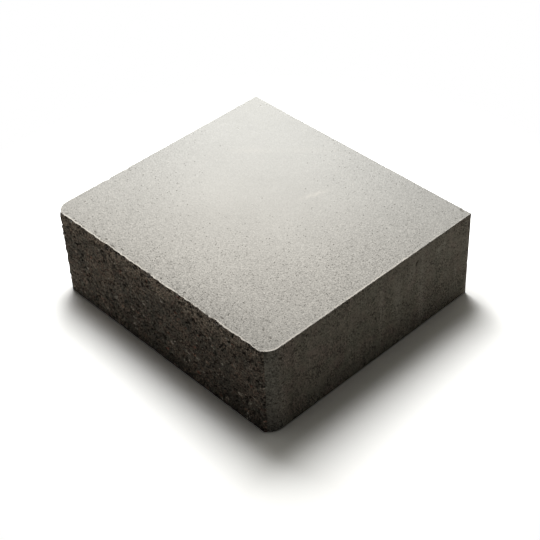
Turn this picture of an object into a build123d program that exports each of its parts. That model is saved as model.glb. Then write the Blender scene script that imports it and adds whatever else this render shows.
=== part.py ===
from build123d import *
import os
from math import acos, degrees

# A concrete garden step: one dry-cast block, with a rough split riser between two smooth rounded corners.
# X runs along the riser, -Y is the riser side and +Z is up.
# The origin is on the ground, at the middle of the block's footprint.

# Driving dimensions, in millimetres
step_width = 445.0  # along the riser, from side to side
step_depth = 405.0  # from the riser to the back
step_rise = 150.0  # from the ground to the tread
corner_radius = 23.0  # mould-formed rounding at each end of the riser
split_margin = 9.5  # how far the rounding reaches in from a side before the split riser starts
split_return = 2.5  # width over which the split riser steps out past the rounding

# Lines of the plan
half_width = step_width / 2
riser_y = -step_depth / 2
back_y = step_depth / 2


def half_plan():
    """Right half of the plan's outline, from the middle of the back round to the middle of the riser."""
    rounding_center = (half_width - corner_radius, riser_y + corner_radius)
    rounding_sweep = degrees(acos((corner_radius - split_margin) / corner_radius))
    riser_end = (half_width - split_margin - split_return, riser_y)
    Polyline((0, back_y), (half_width, back_y), (half_width, rounding_center[1]))
    rounding = CenterArc(rounding_center, corner_radius, 0, -rounding_sweep)
    Polyline(rounding @ 1, riser_end, (0, riser_y))


def step_block():
    """The whole block: its plan carried straight up from the ground to the tread."""
    with BuildPart() as block:
        with BuildSketch():
            with BuildLine():
                half_plan()
                mirror(about=Plane.YZ)
            make_face()
        extrude(amount=step_rise)
    return block.part


os.makedirs("parts", exist_ok=True)
export_step(step_block(), "parts/step_block.step")
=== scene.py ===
import math
import random

import bmesh
import bpy
from mathutils import Matrix, Quaternion, Vector, kdtree, noise


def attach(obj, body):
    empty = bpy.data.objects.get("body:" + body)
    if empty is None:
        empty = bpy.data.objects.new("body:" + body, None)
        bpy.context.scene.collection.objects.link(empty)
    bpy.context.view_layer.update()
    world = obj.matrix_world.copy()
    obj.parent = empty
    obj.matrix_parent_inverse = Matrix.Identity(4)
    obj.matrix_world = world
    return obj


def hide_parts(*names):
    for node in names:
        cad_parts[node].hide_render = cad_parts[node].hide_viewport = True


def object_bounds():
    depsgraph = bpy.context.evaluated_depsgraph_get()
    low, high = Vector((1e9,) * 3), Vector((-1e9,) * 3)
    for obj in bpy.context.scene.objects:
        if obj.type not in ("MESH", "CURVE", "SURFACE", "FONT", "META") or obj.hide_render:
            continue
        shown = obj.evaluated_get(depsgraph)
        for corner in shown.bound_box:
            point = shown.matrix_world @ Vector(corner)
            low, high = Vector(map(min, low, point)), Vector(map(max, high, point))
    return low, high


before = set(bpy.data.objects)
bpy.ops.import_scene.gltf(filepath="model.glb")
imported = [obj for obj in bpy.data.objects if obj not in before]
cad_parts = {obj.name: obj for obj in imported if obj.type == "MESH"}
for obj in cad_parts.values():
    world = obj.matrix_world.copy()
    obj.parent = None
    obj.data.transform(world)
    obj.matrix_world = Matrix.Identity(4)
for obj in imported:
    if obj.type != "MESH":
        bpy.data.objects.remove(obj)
cadLow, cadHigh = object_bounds()
print("frame loaded", list(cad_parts))

mm = 0.001
hair = 0.01 * mm  # points nearer than this count as one
tread, mould, split, bed = range(4)  # the block's four finishes, in the order of its material slots


def smoothStep(low, high, value):
    t = min(max((value - low) / (high - low), 0.0), 1.0)
    return t * t * (3 - 2 * t)


def mix(low, high, share):
    return low + (high - low) * share


# Node helpers
def addNode(tree, kind, inputs=None, **settings):
    node = tree.nodes.new(kind)
    for name, value in settings.items():
        setattr(node, name, value)
    for socket, value in (inputs or {}).items():
        if isinstance(value, bpy.types.NodeSocket):
            tree.links.new(value, node.inputs[socket])
        else:
            node.inputs[socket].default_value = value
    return node


def addMath(tree, operation, *values):
    node = addNode(tree, "ShaderNodeMath", dict(enumerate(values)), operation=operation)
    return node.outputs[0]


def mapRange(tree, value, fromLow, fromHigh, toLow, toHigh):
    node = addNode(tree, "ShaderNodeMapRange", {0: value, 1: fromLow, 2: fromHigh, 3: toLow, 4: toHigh},
                   interpolation_type="SMOOTHSTEP")
    return node.outputs[0]


def mixColor(tree, share, first, second):
    node = addNode(tree, "ShaderNodeMix", {0: share, 6: first, 7: second}, data_type="RGBA")
    return node.outputs[2]


def attribute(tree, name):
    return addNode(tree, "ShaderNodeAttribute", attribute_name=name).outputs["Fac"]


def objectPoint(tree, stretch=(1.0, 1.0, 1.0), lean=0.0):
    place = addNode(tree, "ShaderNodeTexCoord").outputs["Object"]
    return addNode(tree, "ShaderNodeMapping", {"Vector": place, "Scale": stretch,
                                               "Rotation": (0.0, math.radians(lean), 0.0)}).outputs[0]


def objectAxis(tree, axis):
    place = addNode(tree, "ShaderNodeTexCoord").outputs["Object"]
    return addNode(tree, "ShaderNodeSeparateXYZ", {0: place}).outputs[axis]


def noiseTexture(tree, point, size, detail, roughness):
    return addNode(tree, "ShaderNodeTexNoise", {"Vector": point, "Scale": 1.0 / size, "Detail": detail,
                                                "Roughness": roughness}).outputs["Fac"]


def newMaterial(name):
    material = bpy.data.materials.new(name)
    material.use_nodes = True
    return material, material.node_tree, material.node_tree.nodes["Principled BSDF"]


def newGroup(name, inputs, outputs):
    group = bpy.data.node_groups.new(name, "ShaderNodeTree")
    for socket, value in inputs.items():
        added = group.interface.new_socket(socket, in_out="INPUT", socket_type="NodeSocketFloat")
        added.default_value = value
    for socket in outputs:
        group.interface.new_socket(socket, in_out="OUTPUT", socket_type="NodeSocketFloat")
    return group, addNode(group, "NodeGroupInput").outputs, addNode(group, "NodeGroupOutput").inputs


def placeGroup(tree, group, **values):
    return addNode(tree, "ShaderNodeGroup", values, node_tree=group).outputs


# Effects that several finishes share
effects = {
    "toneGain": 4.0,  # brings a noise to about -1 to 1
    "wideShare": 0.42,  # scale of the coarser sand, as a share of the fine sand's
    "cloudDetail": 4.0,
    "cloudRoughness": 0.55,
    "cloudDistortion": 0.4,
    "speckLean": -15.0,
    "speckWobble": 450.0,
    "speckSway": 0.4,  # in cells, up to the distance on the next line
    "speckSwayMost": 2.4 * mm,
    "speckLeast": 0.5,  # smallest radius, as a share of the given one
    "speckCore": 0.55,  # share of the radius that is fully covered
}


def noiseTone(tree, value):
    return addMath(tree, "MULTIPLY", addMath(tree, "SUBTRACT", value, 0.5), effects["toneGain"])


def makeSandGrain():
    group, given, result = newGroup("sandGrain", {"Scale": 500.0, "Wide": 0.3}, ["Tone", "Height"])
    point = objectPoint(group)
    wideScale = addMath(group, "MULTIPLY", given["Scale"], effects["wideShare"])
    sands = [addNode(group, "ShaderNodeTexNoise", {"Vector": point, "Scale": scale, "Detail": 0.0})
             for scale in (given["Scale"], wideScale)]
    fine, wide = [addMath(group, "SUBTRACT", sand.outputs["Fac"], 0.5) for sand in sands]
    both = addMath(group, "MULTIPLY_ADD", wide, given["Wide"], fine)
    group.links.new(addMath(group, "MULTIPLY", both, effects["toneGain"]), result["Tone"])
    group.links.new(both, result["Height"])
    return group


def makeClouds():
    group, given, result = newGroup("mixClouds", {"Scale": 10.0}, ["Tone"])
    cloud = addNode(group, "ShaderNodeTexNoise", {"Vector": objectPoint(group), "Scale": given["Scale"],
                                                  "Detail": effects["cloudDetail"],
                                                  "Roughness": effects["cloudRoughness"],
                                                  "Distortion": effects["cloudDistortion"]}).outputs["Fac"]
    group.links.new(noiseTone(group, cloud), result["Tone"])
    return group


def makeSpecks():
    inputs = {"Scale": 250.0, "Share": 0.2, "Size": 0.3, "Long": 1.0, "Flat": 1.5}
    group, given, result = newGroup("loneSpecks", inputs, ["Mask", "Tint"])
    narrow = addMath(group, "DIVIDE", 1.0, given["Long"])
    flatten = addNode(group, "ShaderNodeCombineXYZ", {0: narrow, 1: 1.0, 2: given["Flat"]}).outputs[0]
    leaning = objectPoint(group, lean=effects["speckLean"])
    point = addNode(group, "ShaderNodeVectorMath", {0: leaning, 1: flatten},
                    operation="MULTIPLY").outputs["Vector"]
    wobble = addNode(group, "ShaderNodeTexNoise", {"Vector": point, "Scale": effects["speckWobble"],
                                                   "Detail": 0.0}).outputs["Color"]
    sway = addMath(group, "MINIMUM", addMath(group, "DIVIDE", effects["speckSway"], given["Scale"]),
                   effects["speckSwayMost"])
    moved = addNode(group, "ShaderNodeVectorMath", {0: wobble, 1: sway, 2: point},
                    operation="MULTIPLY_ADD").outputs["Vector"]
    cells = addNode(group, "ShaderNodeTexVoronoi", {"Vector": moved, "Scale": given["Scale"]}).outputs
    draw = addNode(group, "ShaderNodeTexWhiteNoise", {"Vector": cells["Color"]}).outputs["Color"]
    chance = addNode(group, "ShaderNodeSeparateColor", {"Color": draw}).outputs
    chosen = addMath(group, "LESS_THAN", chance["Red"], given["Share"])
    grown = addMath(group, "ADD", chance["Green"], effects["speckLeast"])
    radius = addMath(group, "MULTIPLY", given["Size"], grown)
    core = addMath(group, "MULTIPLY", radius, effects["speckCore"])
    disc = mapRange(group, cells["Distance"], core, radius, 1.0, 0.0)
    group.links.new(addMath(group, "MULTIPLY", disc, chosen), result["Mask"])
    group.links.new(chance["Blue"], result["Tint"])
    return group


sandGrain = makeSandGrain()
mixClouds = makeClouds()
loneSpecks = makeSpecks()


def shade(tree, color, *tones):
    value = tones[0]
    for tone in tones[1:]:
        value = addMath(tree, "MULTIPLY", value, tone)
    return addNode(tree, "ShaderNodeHueSaturation", {"Value": value, "Color": color}).outputs[0]


def around(tree, tone, amount):
    return addMath(tree, "MULTIPLY_ADD", tone, amount, 1.0)


def placeSpecks(tree, look, kind, **values):
    return placeGroup(tree, loneSpecks, Scale=look[kind + "Scale"], Size=look[kind + "Size"], **values)


def shiftHue(tree, color, look):
    hue = placeGroup(tree, mixClouds, Scale=look["hueScale"])["Tone"]
    pink = mapRange(tree, hue, 0.0, look["hueSpan"], 0.0, look["pinkMix"])
    green = mapRange(tree, hue, -look["hueSpan"], 0.0, look["greenMix"], 0.0)
    return mixColor(tree, green, mixColor(tree, pink, color, look["pinkColor"]), look["greenColor"])


# Painted shade in hollows: the shade stored on the mesh, or a darker given mask where it is darker
def shadeInHollows(tree, *masks):
    dark = attribute(tree, "hollowShade")
    for mask, amount in masks:
        dark = addMath(tree, "MAXIMUM", addMath(tree, "MULTIPLY", mask, amount), dark)
    return dark


def finishSurface(tree, shader, color, heights, roughness):
    tree.links.new(color, shader.inputs["Base Color"])
    tree.links.new(roughness, shader.inputs["Roughness"])
    shader.inputs["Specular IOR Level"].default_value = 0.0
    normal = None
    for height, distance in heights:
        bump = addNode(tree, "ShaderNodeBump", {"Height": height, "Distance": distance, "Strength": 1.0})
        if normal:
            tree.links.new(normal, bump.inputs["Normal"])
        normal = bump.outputs[0]
    tree.links.new(normal, shader.inputs["Normal"])


# Sandy upper face, more open towards the riser's right end, with a painted highlight along its raised lip;
# painted light makes it lighter towards the front corner, and painted shade darker towards the left-front and
# right-back corners and in its pits
sandyTread = {
    "color": (0.585, 0.578, 0.543, 1.0),
    "frontColor": (0.605, 0.578, 0.523, 1.0),
    # painted shade in pits, torn nicks and chipped dents
    "pitShadeColor": (0.25, 0.235, 0.205, 1.0),
    # scuffs and pale grains take this colour; on the raised lip it is a painted highlight
    "paleAndLipHighlightColor": (0.95, 0.89, 0.79, 1.0),
    "lipHighlightSpan": (0.25, 0.9),
    "lipHighlightMix": 0.9,
    "openSlope": 0.9,  # how far the lines of equal openness lean across the tread
    "openSpan": (-45 * mm, 250 * mm),
    "endOpen": 0.55,
    "grainScale": 680.0,
    "grainWide": 0.0,
    "grainAmount": 0.07,
    "grainDepth": 0.5 * mm,
    "grainGrowth": (0.9, 3.3),
    "frontSlope": 0.7,
    "frontSpan": (-280 * mm, 240 * mm),
    # painted light, lighter towards the front corner
    "frontLightTone": (0.965, 1.05),
    "endSpan": (60 * mm, 310 * mm),
    # painted shade, darker towards the left-front and right-back corners
    "endShadeTone": (1.0, 0.92),
    "edgeSpan": (-200 * mm, -140 * mm),
    "edgeSide": (-60 * mm, 70 * mm),
    "edgeShare": (0.3, 1.0),
    "edgeDark": 0.085,
    "edgeOpen": 3.0,
    "cloudScale": 9.0,
    "cloudAmount": 0.035,
    "wipeWidth": 11 * mm,
    "wipeStretch": 0.2,
    "wipeDetail": (3.0, 0.55),
    "wipeAmount": 0.014,
    "pitScale": 370.0,
    "pitShare": 0.45,
    "pitSize": 0.27,
    "pitDepth": 0.7 * mm,
    "pitDark": 0.82,
    "paleScale": 300.0,
    "paleShare": 0.3,
    "paleSize": 0.26,
    "paleMix": 0.35,
    "nickScale": 200.0,  # nicks torn along the riser's edge
    "nickShare": 0.65,
    "nickSize": 0.34,
    "nickLong": 3.0,
    "nickStart": (-202 * mm, -199.5 * mm),
    "nickFade": (-196 * mm, -188 * mm),
    "nickDark": 0.85,
    "roughness": (0.82, 0.95),
}


def makeTread():
    material, tree, shader = newMaterial("sandy_tread")
    grain = placeGroup(tree, sandGrain, Scale=sandyTread["grainScale"], Wide=sandyTread["grainWide"])
    clouds = placeGroup(tree, mixClouds, Scale=sandyTread["cloudScale"])
    across, deep = objectAxis(tree, "X"), objectAxis(tree, "Y")
    forward, near = [addMath(tree, "SUBTRACT", addMath(tree, "MULTIPLY", across, sandyTread[slope]), deep)
                     for slope in ("frontSlope", "openSlope")]
    outward = addMath(tree, "ABSOLUTE", addMath(tree, "ADD", across, deep))
    # painted light: the tread lighter towards the front corner
    frontLight = mapRange(tree, forward, *sandyTread["frontSpan"], *sandyTread["frontLightTone"])
    # painted shade: the tread darker towards its left-front and right-back corners
    endShades = mapRange(tree, outward, *sandyTread["endSpan"], *sandyTread["endShadeTone"])
    sided = mapRange(tree, across, *sandyTread["edgeSide"], *sandyTread["edgeShare"])
    edge = mapRange(tree, deep, *sandyTread["edgeSpan"], sandyTread["edgeDark"], 0.0)
    edge = addMath(tree, "MULTIPLY", edge, sided)
    openness = addMath(tree, "ADD", mapRange(tree, near, *sandyTread["openSpan"], 0.0, 1.0),
                       mapRange(tree, outward, *sandyTread["endSpan"], 0.0, sandyTread["endOpen"]))
    openness = addMath(tree, "MULTIPLY_ADD", edge, sandyTread["edgeOpen"], openness)
    least, most = sandyTread["grainGrowth"]
    growth = addMath(tree, "MULTIPLY_ADD", openness, most - least, least)
    pits, pale = [placeSpecks(tree, sandyTread, kind,
                              Share=addMath(tree, "MULTIPLY", openness, sandyTread[kind + "Share"]))["Mask"]
                  for kind in ("pit", "pale")]
    torn = addMath(tree, "MULTIPLY", mapRange(tree, deep, *sandyTread["nickFade"], 1.0, 0.0),
                   mapRange(tree, deep, *sandyTread["nickStart"], 0.0, sandyTread["nickShare"]))
    nicks = placeSpecks(tree, sandyTread, "nick", Long=sandyTread["nickLong"], Share=torn)["Mask"]
    speckle = addMath(tree, "MULTIPLY", grain["Tone"], growth)
    wiped = addMath(tree, "MULTIPLY", addMath(tree, "ADD", across, deep), sandyTread["wipeStretch"])
    beside = addMath(tree, "SUBTRACT", across, deep)
    wipes = addNode(tree, "ShaderNodeCombineXYZ", {0: wiped, 1: beside}).outputs[0]
    wipes = noiseTexture(tree, wipes, sandyTread["wipeWidth"], *sandyTread["wipeDetail"])
    warmth = mapRange(tree, forward, *sandyTread["frontSpan"], 0.0, 1.0)
    color = mixColor(tree, warmth, sandyTread["color"], sandyTread["frontColor"])
    color = shade(tree, color, around(tree, speckle, sandyTread["grainAmount"]), frontLight, endShades,
                  around(tree, edge, -1.0), around(tree, clouds["Tone"], sandyTread["cloudAmount"]),
                  around(tree, noiseTone(tree, wipes), sandyTread["wipeAmount"]))
    # painted highlight: the raised lip painted pale; scuffs and pale grains take the same pale colour
    lip = mapRange(tree, attribute(tree, "lip"), *sandyTread["lipHighlightSpan"], 0.0, sandyTread["lipHighlightMix"])
    for share in (attribute(tree, "paleMarkAndLight"), addMath(tree, "MULTIPLY", pale, sandyTread["paleMix"]), lip):
        color = mixColor(tree, share, color, sandyTread["paleAndLipHighlightColor"])
    # painted shade in pits, torn nicks and the hollows stored on the mesh
    dark = shadeInHollows(tree, (pits, sandyTread["pitDark"]), (nicks, sandyTread["nickDark"]))
    color = mixColor(tree, dark, color, sandyTread["pitShadeColor"])
    roughness = mapRange(tree, grain["Tone"], -1.0, 1.0, *sandyTread["roughness"])
    height = addMath(tree, "MULTIPLY", grain["Height"], addMath(tree, "SQRT", growth))
    holes = addMath(tree, "MAXIMUM", pits, nicks)
    heights = [(height, sandyTread["grainDepth"]), (holes, -sandyTread["pitDepth"])]
    finishSurface(tree, shader, color, heights, roughness)
    return material


# Smooth faces left by the mould, with drag marks from stripping it and a pale bloom in places; painted light
# makes them lighter towards the top, at the foot and over a broad patch towards the right face's back end,
# and painted shade darkens their pits and gouges
mouldFace = {
    "color": (0.45, 0.437, 0.40, 1.0),
    # painted shade in pits and gouges
    "pitShadeColor": (0.12, 0.108, 0.09, 1.0),
    "hueScale": 34.0,
    "hueSpan": 0.7,
    "pinkColor": (0.475, 0.43, 0.405, 1.0),
    "pinkMix": 0.8,
    "greenColor": (0.425, 0.435, 0.395, 1.0),
    "greenMix": 0.8,
    "bloomAndLightColor": (0.84, 0.845, 0.795, 1.0),
    "bloomAndLightSpan": (-0.7, 0.5),  # grain tones between which the blooms and the painted light patch thicken
    "bloomAndLightShare": (0.4, 1.0),
    "grainScale": 480.0,
    "grainWide": 0.3,
    "grainAmount": 0.46,
    "grainDepth": 0.9 * mm,
    "coarseSpan": (-0.8, 0.8),  # cloud tones between which the grain weakens
    "coarseGain": (1.5, 0.5),
    "cloudScale": 40.0,
    "cloudAmount": 0.2,
    "dragWidth": 11 * mm,
    "dragStretch": 0.08,
    "dragDetail": (3.0, 0.6),
    "dragAmount": 0.13,
    "dragSpan": (0.3, 0.7),
    "pitScale": 200.0,
    "pitShare": 0.14,
    "pitSize": 0.28,
    "pitDepth": 1.0 * mm,
    "pitDark": 0.55,
    # painted light, lighter towards the top
    "riseLightSpan": (60 * mm, 135 * mm),
    "riseLightTone": (0.94, 1.06),
    "gougeScale": 85.0,
    "gougeSpan": (-190 * mm, -30 * mm),
    "gougeShare": (0.3, 0.06),
    "gougeSize": 0.24,
    "gougeFlat": 3.0,
    "gougeDark": 0.9,
    "fleckScale": 170.0,
    "fleckShare": 0.14,
    "fleckSize": 0.26,
    "fleckMix": 0.4,
    "coolColor": (0.44, 0.45, 0.435, 1.0),  # by the rounded front corners
    "coolSpan": (-194 * mm, -165 * mm),
    "coolMix": 0.8,
    # painted light, lighter at the foot
    "footLightSpan": (0.0, 22 * mm),
    "footLightTone": 1.55,
    "roughness": (0.9, 0.75),
}


def makeMould():
    material, tree, shader = newMaterial("mould_face")
    deep, high = objectAxis(tree, "Y"), objectAxis(tree, "Z")
    grain = placeGroup(tree, sandGrain, Scale=mouldFace["grainScale"], Wide=mouldFace["grainWide"])
    clouds = placeGroup(tree, mixClouds, Scale=mouldFace["cloudScale"])
    pits, flecks = [placeSpecks(tree, mouldFace, kind, Share=mouldFace[kind + "Share"])["Mask"]
                    for kind in ("pit", "fleck")]
    gouged = mapRange(tree, deep, *mouldFace["gougeSpan"], *mouldFace["gougeShare"])
    gouges = placeSpecks(tree, mouldFace, "gouge", Flat=mouldFace["gougeFlat"], Share=gouged)["Mask"]
    paste = shiftHue(tree, mouldFace["color"], mouldFace)
    cool = mapRange(tree, deep, *mouldFace["coolSpan"], mouldFace["coolMix"], 0.0)
    paste = mixColor(tree, cool, paste, mouldFace["coolColor"])
    # painted light: the mould faces lighter towards the top
    rise = mapRange(tree, high, *mouldFace["riseLightSpan"], *mouldFace["riseLightTone"])
    # painted light: the mould faces lighter at the foot
    footLight = mapRange(tree, high, *mouldFace["footLightSpan"], mouldFace["footLightTone"], 1.0)
    along = objectPoint(tree, (1.0, 1.0, mouldFace["dragStretch"]))
    drag = noiseTexture(tree, along, mouldFace["dragWidth"], *mouldFace["dragDetail"])
    coarse = mapRange(tree, clouds["Tone"], *mouldFace["coarseSpan"], *mouldFace["coarseGain"])
    grainTone = addMath(tree, "MULTIPLY", grain["Tone"], coarse)
    color = shade(tree, paste, around(tree, grainTone, mouldFace["grainAmount"]), rise, footLight,
                  around(tree, clouds["Tone"], mouldFace["cloudAmount"]),
                  around(tree, noiseTone(tree, drag), mouldFace["dragAmount"]))
    thick = mapRange(tree, grain["Tone"], *mouldFace["bloomAndLightSpan"], *mouldFace["bloomAndLightShare"])
    patchy = addMath(tree, "MULTIPLY", attribute(tree, "paleMarkAndLight"), thick)
    for share in (addMath(tree, "MULTIPLY", flecks, mouldFace["fleckMix"]), patchy):
        color = mixColor(tree, share, color, mouldFace["bloomAndLightColor"])
    # painted shade in pits, gouges and the hollows stored on the mesh
    dark = shadeInHollows(tree, (pits, mouldFace["pitDark"]), (gouges, mouldFace["gougeDark"]))
    color = mixColor(tree, dark, color, mouldFace["pitShadeColor"])
    roughness = mapRange(tree, drag, *mouldFace["dragSpan"], *mouldFace["roughness"])
    holes = addMath(tree, "MAXIMUM", pits, gouges)
    heights = [(grain["Height"], mouldFace["grainDepth"]), (holes, -mouldFace["pitDepth"])]
    finishSurface(tree, shader, color, heights, roughness)
    return material


# Rough split face: brown paste with a paler crust under the tread, stones, pale grains and darker patches;
# painted shade darkens its pits and voids, its lower part and its right end, and painted light lightens its
# foot
splitFace = {
    "color": (0.315, 0.305, 0.288, 1.0),
    "warmColor": (0.39, 0.345, 0.312, 1.0),
    "warmSpan": (-0.6, 0.8),
    "hueScale": 130.0,
    "hueSpan": 0.7,
    "pinkColor": (0.44, 0.325, 0.29, 1.0),
    "pinkMix": 0.45,
    "greenColor": (0.255, 0.275, 0.268, 1.0),
    "greenMix": 0.5,
    "crustColor": (0.64, 0.585, 0.53, 1.0),
    "crustSpan": (110 * mm, 140 * mm),
    "crustSway": 8 * mm,
    # painted shade, darker towards the bottom except at the left end
    "lowShadeSpan": (0 * mm, 95 * mm),
    "lowShadeSide": (-130 * mm, -50 * mm),
    "lowShadeTone": (1.05, 0.7),
    # painted shade in pits and voids
    "pitShadeColor": (0.03, 0.029, 0.028, 1.0),
    "stoneColors": ((0.0, (0.085, 0.10, 0.105, 1.0)), (0.4, (0.36, 0.335, 0.31, 1.0)),
                    (0.66, (0.78, 0.77, 0.74, 1.0)), (0.86, (0.46, 0.35, 0.29, 1.0)),
                    (1.0, (0.42, 0.25, 0.21, 1.0))),
    "streakWidth": 2.4 * mm,
    "streakStretch": 0.14,
    "streakLean": -24.0,
    "streakDetail": (2.0, 0.6),
    "streakAmount": 0.3,
    # painted shade, darker towards the right end
    "endSpan": (40 * mm, 200 * mm),
    "endShadeTone": 0.87,
    "grainScale": 480.0,
    "grainWide": 0.3,
    "grainAmount": 0.82,
    "grainDepth": 1.0 * mm,
    "cloudScale": 26.0,
    "cloudAmount": 0.2,
    "pitScale": 135.0,
    "pitShare": 0.45,
    "pitSize": 0.3,
    "pitFlat": 2.4,
    "pitDepth": 1.8 * mm,
    "pitDark": 0.95,
    # painted light, lighter at the foot
    "footLightSpan": (0.0, 20 * mm),
    "footLightTone": 1.4,
    "paleScale": 210.0,
    "paleShare": 0.4,
    "paleSize": 0.27,
    "paleFlat": 2.4,
    "paleTint": (0.55, 0.95),  # the part of stoneColors that pale grains take
    "roughness": (0.85, 1.0),
}


def stoneRamp(tree, pale):
    lone = mapRange(tree, pale["Tint"], 0.0, 1.0, *splitFace["paleTint"])
    tint = addNode(tree, "ShaderNodeMix", {0: pale["Mask"], 2: attribute(tree, "tint"), 3: lone}).outputs[0]
    ramp = addNode(tree, "ShaderNodeValToRGB", {"Fac": tint})
    bands = ramp.color_ramp.elements
    while len(bands) < len(splitFace["stoneColors"]):
        bands.new(0.5)
    for band, (place, color) in zip(bands, splitFace["stoneColors"]):
        band.position = place
        band.color = color
    return ramp.outputs[0]


def makeSplit():
    material, tree, shader = newMaterial("split_face")
    across, high = objectAxis(tree, "X"), objectAxis(tree, "Z")
    grain = placeGroup(tree, sandGrain, Scale=splitFace["grainScale"], Wide=splitFace["grainWide"])
    clouds = placeGroup(tree, mixClouds, Scale=splitFace["cloudScale"])["Tone"]
    pits, pale = [placeSpecks(tree, splitFace, kind, Share=splitFace[kind + "Share"],
                              Flat=splitFace[kind + "Flat"]) for kind in ("pit", "pale")]
    pits = pits["Mask"]
    warmth = mapRange(tree, clouds, *splitFace["warmSpan"], 0.0, 1.0)
    paste = mixColor(tree, warmth, splitFace["color"], splitFace["warmColor"])
    level = addMath(tree, "MULTIPLY_ADD", clouds, splitFace["crustSway"], high)
    crust = mapRange(tree, level, *splitFace["crustSpan"], 0.0, 1.0)
    paste = shiftHue(tree, mixColor(tree, crust, paste, splitFace["crustColor"]), splitFace)
    # painted shade: the split face darker towards the bottom, except at its left end
    lowShadeDepth = mapRange(tree, across, *splitFace["lowShadeSide"], *splitFace["lowShadeTone"])
    lowShade = mapRange(tree, level, *splitFace["lowShadeSpan"], lowShadeDepth, 1.0)
    # painted light: the split face lighter at the foot
    footLight = mapRange(tree, high, *splitFace["footLightSpan"], splitFace["footLightTone"], 1.0)
    # painted shade: the split face darker towards its right end
    end = mapRange(tree, across, *splitFace["endSpan"], 1.0, splitFace["endShadeTone"])
    paste = shade(tree, paste, around(tree, clouds, splitFace["cloudAmount"]), lowShade, footLight, end,
                  around(tree, attribute(tree, "patch"), -1.0))
    stones = addMath(tree, "MAXIMUM", attribute(tree, "stone"), pale["Mask"])
    color = mixColor(tree, stones, paste, stoneRamp(tree, pale))
    leaning = objectPoint(tree, lean=splitFace["streakLean"])
    streaks = addNode(tree, "ShaderNodeVectorMath", {0: leaning, 1: (splitFace["streakStretch"], 1.0, 1.0)},
                      operation="MULTIPLY").outputs["Vector"]
    streaks = noiseTexture(tree, streaks, splitFace["streakWidth"], *splitFace["streakDetail"])
    color = shade(tree, color, around(tree, grain["Tone"], splitFace["grainAmount"]),
                  around(tree, noiseTone(tree, streaks), splitFace["streakAmount"]))
    # painted shade in pits and in the voids stored on the mesh
    color = mixColor(tree, shadeInHollows(tree, (pits, splitFace["pitDark"])), color, splitFace["pitShadeColor"])
    roughness = mapRange(tree, grain["Tone"], -1.0, 1.0, *splitFace["roughness"])
    heights = [(grain["Height"], splitFace["grainDepth"]), (pits, -splitFace["pitDepth"])]
    finishSurface(tree, shader, color, heights, roughness)
    return material


# Open-textured underside, with painted shade in its pores
bedFace = {
    "color": (0.40, 0.38, 0.345, 1.0),
    "poreShadeColor": (0.14, 0.13, 0.11, 1.0),
    "grainScale": 220.0,
    "grainAmount": 0.35,
    "grainDepth": 1.6 * mm,
    "poreScale": 150.0,
    "poreShare": 0.5,
    "poreSize": 0.3,
    "poreDark": 0.8,
    "poreDepth": 1.2 * mm,
    "roughness": (0.85, 1.0),
}


def makeBed():
    material, tree, shader = newMaterial("bed_face")
    grain = placeGroup(tree, sandGrain, Scale=bedFace["grainScale"])
    pores = placeSpecks(tree, bedFace, "pore", Share=bedFace["poreShare"])["Mask"]
    color = shade(tree, bedFace["color"], around(tree, grain["Tone"], bedFace["grainAmount"]))
    # painted shade in the pores
    color = mixColor(tree, addMath(tree, "MULTIPLY", pores, bedFace["poreDark"]), color, bedFace["poreShadeColor"])
    roughness = mapRange(tree, grain["Tone"], -1.0, 1.0, *bedFace["roughness"])
    heights = [(grain["Height"], bedFace["grainDepth"]), (pores, -bedFace["poreDepth"])]
    finishSurface(tree, shader, color, heights, roughness)
    return material


# The block itself, cut fine enough to carry its relief
block = {
    "node": "step_block",
    "flatAngle": 2.0,
    "cell": 4.7 * mm,
    "fineCuts": 3,
    "bands": (1.2 * mm, 3.0 * mm, 6.0 * mm),  # extra cuts beside the upper and lower edges
    "sharpAngle": 48.0,
    "seed": 11,
}
raisedLip = {
    "rings": (0.8 * mm, 1.2 * mm, 2.0 * mm),
    "margin": 0.1 * mm,
    "longest": 2.5 * mm,  # longer edges on the lip are cut again
    "height": 0.75 * mm,
    "profile": ((0.0, 0.85), (0.8 * mm, 1.0), (2.0 * mm, 0.9), (4.0 * mm, 0.0)),
    "riser": (0.9, 0.9),  # level and ripple along each edge of the tread
    "right": (0.68, 0.45),
    "far": (0.4, 0.25),
    "corner": ((214, -192), 40, 0.6),  # place and reach in mm, gain
    "fade": (60 * mm, 170 * mm, 0.6),
    "sway": (34 * mm, 0.25),
    "rippleWidth": 4.5 * mm,
    "least": 0.05,
    "swell": (70 * mm, 0.05 * mm),
}
relief = {
    "base": 0.8 * mm,
    "least": 0.05 * mm,
    "swells": ((60 * mm, 0.8 * mm), (13 * mm, 0.88 * mm), (3.4 * mm, 0.48 * mm)),  # width and height
    "stones": 420,
    "stoneRadius": (1.4 * mm, 4.2 * mm),
    "stoneHeight": (0.3 * mm, 0.9 * mm),
    "stoneShape": (1.25, 0.8),  # length and width, in radii
    "stoneRim": (0.7, 1.05),
    "stoneReach": 1.35,
    "stoneBias": 1.8,  # a higher bias gives more small ones
    "voids": 640,
    "voidRadius": (1.0 * mm, 3.0 * mm),
    "voidDepth": (0.7 * mm, 2.3 * mm),
    "voidShape": (1.45, 0.75),
    "voidRim": (0.3, 1.0),
    "voidReach": 1.6,
    "voidBias": 1.6,
    "voidTurn": (-0.25, 0.4),  # middle and spread, in radians
    "finWidth": 5 * mm,  # ragged strip at each end of the riser
    "finDepth": 0.1 * mm,
    "finRough": (8 * mm, 0.6 * mm),
    "footShare": 0.5,
    "footRise": 9 * mm,
}
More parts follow.
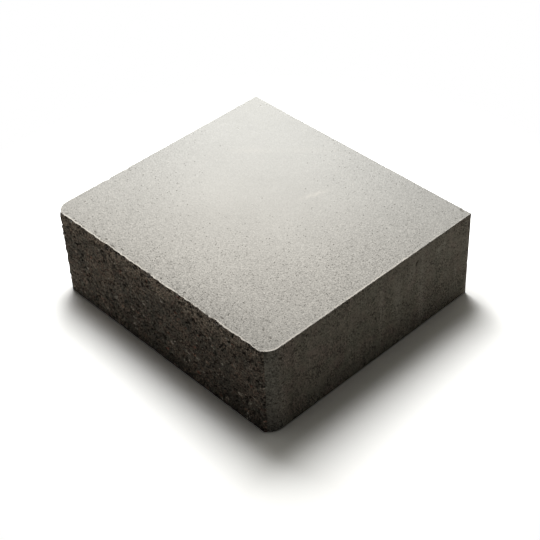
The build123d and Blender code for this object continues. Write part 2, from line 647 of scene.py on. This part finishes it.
marks = {
    "treadPits": 8,
    "treadReach": 0.97,
    "edgePits": 30,
    "edgeReach": 0.92,
    "edgeBand": (3.5 * mm, 7.0 * mm),
    "edgeRadius": (0.6 * mm, 1.1 * mm),
    "sidePits": 34,
    "sideStart": 25 * mm,
    "pitRadius": (0.5 * mm, 1.4 * mm),
    "pitBias": 2,
    "pitMargin": 2.6 * mm,  # cut fine this far round a pit
    "pitBowl": (0.35, 1.1),
    "pitDepth": 0.9,
    "treadPitDark": 0.78,
    "sidePitDark": 0.85,
    "chips": {  # count, radii and depths along each edge
        "splitTop": (120, (2.0 * mm, 6.5 * mm), (0.5 * mm, 2.8 * mm)),
        "splitFoot": (60, (1.4 * mm, 3.2 * mm), (0.2 * mm, 1.0 * mm)),
        "mouldTop": (150, (0.8 * mm, 2.6 * mm), (0.1 * mm, 0.7 * mm)),
        "mouldFoot": (60, (1.2 * mm, 3.2 * mm), (0.2 * mm, 1.0 * mm)),
        "backCorners": (14, (1.5 * mm, 4.0 * mm), (0.2 * mm, 1.0 * mm)),
    },
    "chipBias": 1.7,
    "chipReach": 8 * mm,
    "chipRough": (3.0 * mm, 0.4),
    # painted shade in chipped dents on the tread
    "chipDark": 0.45,
    "chipDarkSpan": (1.4 * mm, 2.8 * mm),
    "rimBreak": (0.0, 1.0, -0.3),  # the way that the riser's upper rim breaks off
    "drag": (9 * mm, 120 * mm, 0.08 * mm),  # width, length and depth of the mould's drag marks
    "bloomAndLightDepth": 2 * mm,
    "looseBlooms": 9,
    "looseStart": 40 * mm,
    "looseRise": (50 * mm, 130 * mm),
    "looseWidth": (4 * mm, 10 * mm),
    "looseHeight": (25 * mm, 60 * mm),
    "looseLevel": (0.2, 0.5),
    "scuffWidth": 0.15,
}
# Marks with a place of their own, in millimetres
placed = {
    # darker patches on the split face: place, width, height and strength
    "darkPatches": [((85, 72), 45, 24, 0.3), ((-45, 48), 30, 20, 0.2), ((-50, 122), 24, 10, 0.22),
                    ((160, 52), 22, 18, 0.25), ((165, 122), 14, 9, 0.25)],
    "bloomsAndLight": [((222.5, 99, 85), 6.0, 72, 0.85), ((222.5, 49, 98), 9.0, 48, 0.6),
               ((222.5, 15, 98), 5.0, 52, 0.6), ((222.5, 76, 112), 13, 32, 0.45),
               ((222.5, 135, 123.5), 4.5, 4.0, 2.4), ((222.5, 145, 128), 5.0, 3.5, 1.9),
               # the first entry below, 85 by 60 mm at (125, 120), is painted light: the right face lighter
               # towards its back end
               ((222.5, 125, 120), 85, 60, 0.32), ((222.5, -177, 40), 3.5, 28, 0.55),
               ((222.5, 175, 60), 3.0, 22, 0.6),
               ((222.5, 98, 136), 8.0, 16, 0.65), ((222.5, 20, 146), 110, 22, 0.16),
               ((222.5, 195, 95), 10, 70, 0.4), ((222.5, -24, 133), 7.0, 14, 0.3),
               ((222.5, -70, 135), 14, 10, 0.2), ((222.5, 72, 134), 42, 16, 0.22),
               ((222.5, 104, 40), 8.0, 40, 0.4), ((222.5, 140, 20), 65, 24, 0.2)],
    "scuffs": [((29, 82), 18, 70, 0.34), ((-120, 93), 34, 43, 0.08), ((-60, 150), 40, 45, 0.05)],
    "pits": [((222.5, 86.5, 125.3), 2.3), ((222.5, 88, 127.5), 2.6), ((222.5, 89.5, 130), 2.1),
             ((206.5, 199.5, 150), 2.2), ((210, 199.2, 150), 2.4), ((222.5, -152, 130), 1.8),
             ((222.5, -146, 133), 1.4), ((222.5, -134, 126), 1.2), ((222.5, -143, 105), 1.2),
             ((183, -169, 150), 1.8), ((201, -174, 150), 2.0), ((205, -158, 150), 1.6),
             ((94, -181, 150), 1.7), ((127, -151, 150), 1.6), ((142, -161, 150), 1.7),
             ((129, -182, 150), 1.6), ((-41, -132, 150), 1.6), ((-30, -170, 150), 1.5),
             ((-200, -151, 150), 1.6), ((-165, -164, 150), 1.5), ((-168, -182, 150), 1.5),
             ((-182, -139, 150), 1.5)],
    "chips": [((210, 202.5, 150), 4.0, 0.8), ((-222.5, -103, 150), 5.0, 1.3), ((-222.5, -68, 150), 4.0, 0.9),
              ((222.5, 95, 150), 2.5, 1.2), ((222.5, 112, 150), 2.5, 1.2), ((208, -202.5, 150), 4.0, 2.0),
              ((-213, -198.5, 150), 3.0, 1.8), ((213, -198.5, 150), 3.0, 1.8)],
}


def copyBlock():
    bm = bmesh.new()
    bm.from_mesh(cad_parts[block["node"]].data)
    bmesh.ops.remove_doubles(bm, verts=bm.verts[:], dist=hair)
    bmesh.ops.dissolve_limit(bm, angle_limit=math.radians(block["flatAngle"]), verts=bm.verts[:],
                             edges=bm.edges[:])
    for face in bm.faces:
        face.material_index = mould
    top = max(bm.faces, key=lambda face: face.normal.z)
    riser = min(bm.faces, key=lambda face: face.normal.y)
    top.material_index = tread
    min(bm.faces, key=lambda face: face.normal.z).material_index = bed
    upright = [edge for edge in riser.edges if abs(edge.verts[0].co.z - edge.verts[1].co.z) > mm]
    for face in [riser] + [face for edge in upright for face in edge.link_faces]:
        face.material_index = split
    return bm, top


def ringLip(bm, top):
    rim = bm.verts.layers.float.new("rim")
    reach = 0.0
    for width in raisedLip["rings"]:
        bmesh.ops.inset_region(bm, faces=[top], thickness=width, use_even_offset=True)
        reach += width
        for vert in top.verts:
            vert[rim] = reach


def cutGrid(bm):
    bands = block["bands"]
    heights = list(bands) + [cadHigh.z - band for band in bands]
    spans = [(cadLow.x, cadHigh.x, []), (cadLow.y, cadHigh.y, []),
             (max(bands), cadHigh.z - max(bands), heights)]
    for axis, (low, high, places) in enumerate(spans):
        count = round((high - low) / block["cell"])
        places = places + [mix(low, high, step / count) for step in range(1, count)]
        across = Vector((0.0, 0.0, 0.0))
        across[axis] = 1.0
        for place in places:
            bmesh.ops.bisect_plane(bm, geom=bm.verts[:] + bm.edges[:] + bm.faces[:], dist=0.1 * hair,
                                   plane_co=across * place, plane_no=across)


def pitSize(draw):
    return mix(*marks["pitRadius"], draw.random() ** marks["pitBias"])


def scatterPits():
    draw = random.Random(block["seed"])
    pits = [(Vector(place) * mm, radius * mm) for place, radius in placed["pits"]]
    for _ in range(marks["treadPits"]):
        place = (draw.uniform(cadLow.x, cadHigh.x) * marks["treadReach"],
                 draw.uniform(cadLow.y, cadHigh.y) * marks["treadReach"], cadHigh.z)
        pits.append((Vector(place), pitSize(draw)))
    for _ in range(marks["edgePits"]):
        place = (draw.uniform(cadLow.x, cadHigh.x) * marks["edgeReach"],
                 cadLow.y + draw.uniform(*marks["edgeBand"]), cadHigh.z)
        pits.append((Vector(place), draw.uniform(*marks["edgeRadius"])))
    for side in (cadLow.x, cadHigh.x):
        for _ in range(marks["sidePits"]):
            place = (side, draw.uniform(cadLow.y + marks["sideStart"], cadHigh.y),
                     draw.uniform(0.0, cadHigh.z))
            pits.append((Vector(place), pitSize(draw)))
    for _ in range(marks["sidePits"]):
        place = (draw.uniform(cadLow.x, cadHigh.x), cadHigh.y, draw.uniform(0.0, cadHigh.z))
        pits.append((Vector(place), pitSize(draw)))
    return pits


def scatterBloomsAndLight():
    draw = random.Random(block["seed"] + 3)
    bloomsAndLight = [(Vector(place) * mm, wide * mm, tall * mm, level)
              for place, wide, tall, level in placed["bloomsAndLight"]]
    for _ in range(marks["looseBlooms"]):
        left = Vector((cadLow.x, draw.uniform(cadLow.y + marks["looseStart"], cadHigh.y),
                       draw.uniform(*marks["looseRise"])))
        back = Vector((draw.uniform(cadLow.x, cadHigh.x), cadHigh.y, draw.uniform(*marks["looseRise"])))
        for place in (left, back):
            bloomsAndLight.append((place, draw.uniform(*marks["looseWidth"]), draw.uniform(*marks["looseHeight"]),
                           draw.uniform(*marks["looseLevel"])))
    return bloomsAndLight


def plant(places):
    tree = kdtree.KDTree(len(places))
    for index, place in enumerate(places):
        tree.insert(place, index)
    tree.balance()
    return tree


def refine(bm, pits, pitTree):
    rim = bm.verts.layers.float["rim"]
    inner = sum(raisedLip["rings"]) - raisedLip["margin"]
    band = max(block["bands"]) + hair
    chosen = set()
    for face in bm.faces:
        index, gap = pitTree.find(face.calc_center_median())[1:]
        pitted = face.material_index != bed and gap < pits[index][1] + marks["pitMargin"]
        if face.material_index == split or pitted:
            chosen.update(edge.index for edge in face.edges)
    for edge in bm.edges:
        first, second = (vert.co for vert in edge.verts)
        level = abs(first.z - second.z) < hair
        edgeBand = level and not band < first.z < cadHigh.z - band
        onLip = all(vert[rim] < inner for vert in edge.verts)
        upright = any(abs(face.normal.z) < 0.5 for face in edge.link_faces)
        tooLong = edge.calc_length() > raisedLip["longest"]
        if tooLong and edgeBand and onLip and (upright or first.z > cadHigh.z - hair):
            chosen.add(edge.index)
    bmesh.ops.subdivide_edges(bm, edges=[edge for edge in bm.edges if edge.index in chosen],
                              cuts=block["fineCuts"], use_grid_fill=True)


def scatterSplit():
    draw = random.Random(block["seed"] + 1)
    stones = []
    voids = []
    for _ in range(relief["stones"]):
        place = Vector((draw.uniform(cadLow.x, cadHigh.x), 0.0, draw.uniform(0.0, cadHigh.z)))
        size = draw.random() ** relief["stoneBias"]
        stones.append((place, mix(*relief["stoneRadius"], size), mix(*relief["stoneHeight"], draw.random()),
                       draw.random()))
    for _ in range(relief["voids"]):
        place = Vector((draw.uniform(cadLow.x, cadHigh.x), 0.0, draw.uniform(0.0, cadHigh.z)))
        size = draw.random() ** relief["voidBias"]
        voids.append((place, mix(*relief["voidRadius"], size), mix(*relief["voidDepth"], size),
                      draw.gauss(*relief["voidTurn"])))
    return stones, voids


def scatterChips(bm):
    draw = random.Random(block["seed"] + 2)
    edges = {name: [] for name in marks["chips"]}
    for vert in bm.verts:
        zones = {face.material_index for face in vert.link_faces}
        level = "Top" if tread in zones else "Foot" if bed in zones else ""
        if level and split in zones:
            edges["split" + level].append(vert)
        elif level and mould in zones:
            edges["mould" + level].append(vert)
        elif cadHigh.y - vert.co.y < hair and cadHigh.x - abs(vert.co.x) < hair:
            edges["backCorners"].append(vert)
    outline = [vert for verts in edges.values() for vert in verts]
    places = plant([vert.co for vert in outline])
    chips = []
    for place, radius, depth in placed["chips"]:
        vert = outline[places.find(Vector(place) * mm)[1]]
        chips.append((vert.co.copy(), -vert.normal, radius * mm, depth * mm))
    for name, (count, radii, depths) in marks["chips"].items():
        for _ in range(count):
            vert = edges[name][draw.randrange(len(edges[name]))]
            size = draw.random() ** marks["chipBias"]
            inward = Vector(marks["rimBreak"]).normalized() if name == "splitTop" else -vert.normal
            chips.append((vert.co.copy(), inward, mix(*radii, size), mix(*depths, size * draw.random())))
    return chips


def noiseAt(point, size, shift=0.0):
    return noise.noise(Vector((point.x / size + shift, point.y / size, point.z / size)))


def lipShape(rim):
    profile = raisedLip["profile"]
    for (near, low), (far, high) in zip(profile, profile[1:]):
        if rim <= far:
            return mix(low, high, (rim - near) / (far - near))
    return 0.0


def lipLevels(point):
    gaps = {"riser": point.y - cadLow.y, "right": cadHigh.x - point.x,
            "far": min(point.x - cadLow.x, cadHigh.y - point.y)}
    level, ripple = raisedLip[min(gaps, key=gaps.get)]
    start, end, loss = raisedLip["fade"]
    level *= 1.0 - loss * smoothStep(start, end, point.y)
    corner, reach, gain = raisedLip["corner"]
    gap = (point.xy - Vector(corner) * mm).length
    return level + gain * math.exp(-(gap / (reach * mm)) ** 2), ripple


def lipAt(point, rim):
    level, ripple = lipLevels(point)
    swayWidth, sway = raisedLip["sway"]
    strength = level + sway * noiseAt(point, swayWidth)
    strength += ripple * noiseAt(point, raisedLip["rippleWidth"], shift=40.0)
    crest = min(max(strength, raisedLip["least"]), 1.0) * lipShape(rim)
    swellWidth, swell = raisedLip["swell"]
    drop = raisedLip["height"] * (1.0 - crest) + swell * (1.0 + noiseAt(point, swellWidth, shift=9.0))
    return drop, crest


def scuffAt(point):
    level = 0.0
    for middle, reach, slant, strength in placed["scuffs"]:
        offset = (point.xy - Vector(middle) * mm) / (reach * mm)
        offset.rotate(Matrix.Rotation(math.radians(-slant), 2))
        level = max(level, strength * math.exp(-offset.x ** 2 - (offset.y / marks["scuffWidth"]) ** 2))
    return level


# pale blooms on the mould faces, and the broad patch of painted light
def bloomAndLightAt(point, bloomsAndLight):
    level = 0.0
    for place, wide, tall, strength in bloomsAndLight:
        offset = point - place
        if min(abs(offset.x), abs(offset.y)) < marks["bloomAndLightDepth"]:
            reach = (max(abs(offset.x), abs(offset.y)) / wide) ** 2 + (offset.z / tall) ** 2
            level = max(level, strength * math.exp(-reach))
    return level


def dragAt(vert):
    outward = Vector((0.0, 0.0, 0.0))
    for face in vert.link_faces:
        if face.material_index == mould:
            outward += face.normal
    width, length, depth = marks["drag"]
    drag = noise.noise(Vector((vert.co.x / width, vert.co.y / width, vert.co.z / length)))
    return outward.normalized() * depth * (1.0 + drag)


def pitAt(point, pits, pitTree, reach):
    core, edge = marks["pitBowl"]
    depth = 0.0
    deepest = 0.0
    for place, index, gap in pitTree.find_range(point, reach):
        radius = pits[index][1]
        bowl = 1.0 - smoothStep(core * radius, edge * radius, gap)
        depth += bowl * radius * marks["pitDepth"]
        deepest = max(deepest, bowl)
    return depth, deepest


def patchAt(point):
    level = 0.0
    for (x, z), wide, tall, strength in placed["darkPatches"]:
        reach = ((point.x / mm - x) / wide) ** 2 + ((point.z / mm - z) / tall) ** 2
        level = max(level, strength * math.exp(-reach))
    return level


def stoneAt(flat, stones, stoneTree):
    long, wide = relief["stoneShape"]
    core, edge = relief["stoneRim"]
    rise = 0.0
    covered = 0.0
    tint = 0.0
    for place, index, gap in stoneTree.find_range(flat, relief["stoneRadius"][1] * relief["stoneReach"]):
        radius, height, color = stones[index][1:]
        offset = flat - place
        cover = 1.0 - smoothStep(core * radius, edge * radius, math.hypot(offset.x / long, offset.z / wide))
        rise += height * cover
        if cover > covered:
            covered = cover
            tint = color
    return rise, covered, tint


def voidAt(flat, voids, voidTree):
    long, wide = relief["voidShape"]
    depth = 0.0
    deepest = 0.0
    for place, index, gap in voidTree.find_range(flat, relief["voidRadius"][1] * relief["voidReach"]):
        radius, deep, turn = voids[index][1:]
        offset = flat - place
        along = offset.x * math.cos(turn) + offset.z * math.sin(turn)
        aside = offset.z * math.cos(turn) - offset.x * math.sin(turn)
        bowl = 1.0 - smoothStep(*relief["voidRim"], math.hypot(along / long, aside / wide) / radius)
        depth += deep * bowl
        deepest = max(deepest, bowl)
    return depth, deepest


def finAt(flat, riserEnd):
    width, height = relief["finRough"]
    near = smoothStep(riserEnd - relief["finWidth"], riserEnd, abs(flat.x))
    return near * (relief["finDepth"] + height * noiseAt(flat, width, shift=7.0))


def chipAt(point, chips, chipTree):
    width, amount = marks["chipRough"]
    broken = Vector((0.0, 0.0, 0.0))
    dent = 0.0
    for place, index, gap in chipTree.find_range(point, marks["chipReach"]):
        inward, radius, depth = chips[index][1:]
        if gap < radius:
            loss = depth * (1.0 + amount * noiseAt(point, width, shift=5.0)) * (1.0 - (gap / radius) ** 2)
            if loss > dent:
                broken = inward * loss
                dent = loss
    return broken, dent


def carve(bm, pits, pitTree):
    rim = bm.verts.layers.float["rim"]
    hollowShade, lip, stone, tint, paleMarkAndLight, patch = [bm.verts.layers.float.new(name) for name in
                                              ("hollowShade", "lip", "stone", "tint", "paleMarkAndLight", "patch")]
    bloomsAndLight = scatterBloomsAndLight()
    stones, voids = scatterSplit()
    stoneTree = plant([item[0] for item in stones])
    voidTree = plant([item[0] for item in voids])
    bm.normal_update()
    chips = scatterChips(bm)
    chipTree = plant([chip[0] for chip in chips])
    pitReach = max(radius for place, radius in pits) * marks["pitBowl"][1]
    riserEnd = max(abs(vert.co.x) for vert in bm.verts if vert.co.y < cadLow.y + hair)
    notch = max(abs(vert.co.x) for face in bm.faces if face.material_index == split for vert in face.verts)
    moves = []
    for vert in bm.verts:
        point = vert.co
        zones = {face.material_index for face in vert.link_faces}
        onTread = tread in zones
        move = Vector((0.0, 0.0, 0.0))
        if onTread:
            drop, vert[lip] = lipAt(point, vert[rim])
            move.z -= drop
        if zones == {tread}:
            vert[paleMarkAndLight] = scuffAt(point)
        if mould in zones:
            move -= dragAt(vert)
            vert[paleMarkAndLight] = bloomAndLightAt(point, bloomsAndLight)
        if zones & {tread, mould}:
            depth, bowl = pitAt(point, pits, pitTree, pitReach)
            move -= (Vector((0.0, 0.0, 1.0)) if onTread else vert.normal) * depth
            # painted shade in the pit's bowl
            vert[hollowShade] = bowl * marks["treadPitDark" if onTread else "sidePitDark"]
        if split in zones:
            flat = Vector((point.x, 0.0, point.z))
            swell = sum(height * noiseAt(flat, width, shift=3.0) for width, height in relief["swells"])
            rise, vert[stone], vert[tint] = stoneAt(flat, stones, stoneTree)
            drop, bowl = voidAt(flat, voids, voidTree)
            depth = max(relief["base"] - swell - rise + drop + finAt(flat, riserEnd), relief["least"])
            hold = 1.0 - smoothStep(riserEnd, notch, abs(point.x))
            hold *= mix(relief["footShare"], 1.0, smoothStep(0.0, relief["footRise"], point.z))
            move.y += depth * hold
            # painted shade in the riser's voids
            vert[hollowShade] = max(vert[hollowShade], bowl)
            vert[patch] = patchAt(point)
        broken, dent = chipAt(point, chips, chipTree)
        move += broken
        if onTread:
            # painted shade in chipped dents on the tread
            vert[hollowShade] = max(vert[hollowShade], marks["chipDark"] * smoothStep(*marks["chipDarkSpan"], dent))
        moves.append(move)
    for vert, move in zip(bm.verts, moves):
        vert.co += move
        vert.co.z = min(max(vert.co.z, 0.0), cadHigh.z)


def makeBlock():
    bm, top = copyBlock()
    ringLip(bm, top)
    cutGrid(bm)
    pits = scatterPits()
    pitTree = plant([pit[0] for pit in pits])
    bm.edges.index_update()
    refine(bm, pits, pitTree)
    carve(bm, pits, pitTree)
    bmesh.ops.triangulate(bm, faces=[face for face in bm.faces if len(face.verts) > 4])
    mesh = bpy.data.meshes.new("concrete_step")
    for face in bm.faces:
        face.smooth = True
    bm.to_mesh(mesh)
    bm.free()
    mesh.set_sharp_from_angle(angle=math.radians(block["sharpAngle"]))
    piece = bpy.data.objects.new("concrete_step", mesh)
    bpy.context.scene.collection.objects.link(piece)
    for material in (makeTread(), makeMould(), makeSplit(), makeBed()):
        mesh.materials.append(material)
    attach(piece, "root")
    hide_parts(block["node"])
    mesh.calc_loop_triangles()
    print("block modelled", len(mesh.vertices), "points", len(mesh.loop_triangles), "triangles")


makeBlock()

# Pale floor: white to the eye away from the block, with the block's soft shadow near it
floorLook = {
    "size": 16.0,
    "seenColor": (2.31, 2.31, 2.275, 1.0),
    "bounceColor": (0.62, 0.56, 0.47, 1.0),
    "haze": 0.25,  # faint light that fills the shadow where the floor is open
    "hazePower": 3.6,
    "hazeColor": (1.0, 0.98, 0.88, 1.0),
    "hazeReach": 0.5,
    "shadowReach": (0.42, 0.6),
}


def seenDirectly(tree):
    path = addNode(tree, "ShaderNodeLightPath").outputs
    sharp = addMath(tree, "MAXIMUM", path["Is Glossy Ray"], path["Is Transmission Ray"])
    return addMath(tree, "MAXIMUM", path["Is Camera Ray"], sharp)


def makeFloor():
    bm = bmesh.new()
    bmesh.ops.create_grid(bm, x_segments=1, y_segments=1, size=floorLook["size"] / 2)
    mesh = bpy.data.meshes.new("floor")
    bm.to_mesh(mesh)
    bm.free()
    floor = bpy.data.objects.new("floor", mesh)
    bpy.context.scene.collection.objects.link(floor)
    material, tree, shader = newMaterial("pale_floor")
    tree.nodes.remove(shader)
    place = addNode(tree, "ShaderNodeTexCoord").outputs["Object"]
    away = addNode(tree, "ShaderNodeVectorMath", {0: place}, operation="LENGTH").outputs["Value"]
    far = mapRange(tree, away, *floorLook["shadowReach"], 0.0, 1.0)
    openness = addNode(tree, "ShaderNodeAmbientOcclusion", {"Distance": floorLook["hazeReach"]}).outputs["AO"]
    haze = addMath(tree, "POWER", openness, floorLook["hazePower"])
    haze = addMath(tree, "MULTIPLY", haze, floorLook["haze"])
    lit = addNode(tree, "ShaderNodeBsdfDiffuse", {"Color": floorLook["seenColor"]}).outputs[0]
    glow = addNode(tree, "ShaderNodeEmission", {"Color": floorLook["hazeColor"], "Strength": haze}).outputs[0]
    near = addNode(tree, "ShaderNodeAddShader", {0: lit, 1: glow}).outputs[0]
    white = addNode(tree, "ShaderNodeEmission", {"Strength": 1.0}).outputs[0]
    seen = addNode(tree, "ShaderNodeMixShader", {0: far, 1: near, 2: white}).outputs[0]
    bounce = addNode(tree, "ShaderNodeBsdfDiffuse", {"Color": floorLook["bounceColor"]}).outputs[0]
    both = addNode(tree, "ShaderNodeMixShader", {0: seenDirectly(tree), 1: bounce, 2: seen}).outputs[0]
    tree.links.new(both, tree.nodes["Material Output"].inputs["Surface"])
    mesh.materials.append(material)


makeFloor()
print("floor laid")

# One soft lamp above and behind the block, and faint light from all round
studio = {
    "lampPlace": (-0.274, 0.182, 0.89),
    "lampAim": (-0.115, 0.295, 0.15),
    "lampSize": (0.62, 0.62),
    "lampTurn": -18.8,
    "lampPower": 9.5,
    "roomColor": (1.0, 0.97, 0.92, 1.0),
    "roomStrength": 0.012,
}


def aimAt(item, target, turn):
    ahead = Vector(target) - item.location
    spin = Quaternion((0.0, 0.0, 1.0), math.radians(turn))
    item.rotation_mode = "QUATERNION"
    item.rotation_quaternion = ahead.to_track_quat("-Z", "Y") @ spin


def makeStudio():
    lamp = bpy.data.lights.new("soft_lamp", "AREA")
    lamp.shape = "RECTANGLE"
    lamp.size, lamp.size_y = studio["lampSize"]
    lamp.energy = studio["lampPower"]
    lampObject = bpy.data.objects.new("soft_lamp", lamp)
    bpy.context.scene.collection.objects.link(lampObject)
    lampObject.location = studio["lampPlace"]
    aimAt(lampObject, studio["lampAim"], studio["lampTurn"])
    world = bpy.data.worlds.new("studio")
    bpy.context.scene.world = world
    world.use_nodes = True
    tree = world.node_tree
    room = tree.nodes["Background"]
    room.inputs["Color"].default_value = studio["roomColor"]
    room.inputs["Strength"].default_value = studio["roomStrength"]
    white = addNode(tree, "ShaderNodeBackground", {"Color": (1.0, 1.0, 1.0, 1.0), "Strength": 1.0}).outputs[0]
    both = addNode(tree, "ShaderNodeMixShader", {0: seenDirectly(tree), 1: room.outputs[0], 2: white})
    tree.links.new(both.outputs[0], tree.nodes["World Output"].inputs["Surface"])


makeStudio()
print("studio lit")

# The photograph's viewpoint
viewpoint = {
    "place": (1.1212, -1.00448, 1.32262),
    "aim": (-0.02573, 0.0366, 0.0),
    "roll": -2.715,
    "lens": 88.426,
    "sensor": 36.0,
}


def makeCamera():
    camera = bpy.data.cameras.new("camera")
    camera.lens = viewpoint["lens"]
    camera.sensor_width = viewpoint["sensor"]
    cameraObject = bpy.data.objects.new("camera", camera)
    bpy.context.scene.collection.objects.link(cameraObject)
    cameraObject.location = viewpoint["place"]
    aimAt(cameraObject, viewpoint["aim"], viewpoint["roll"])
    bpy.context.scene.camera = cameraObject


makeCamera()
bpy.context.scene.view_settings.view_transform = "Standard"
print("camera placed")
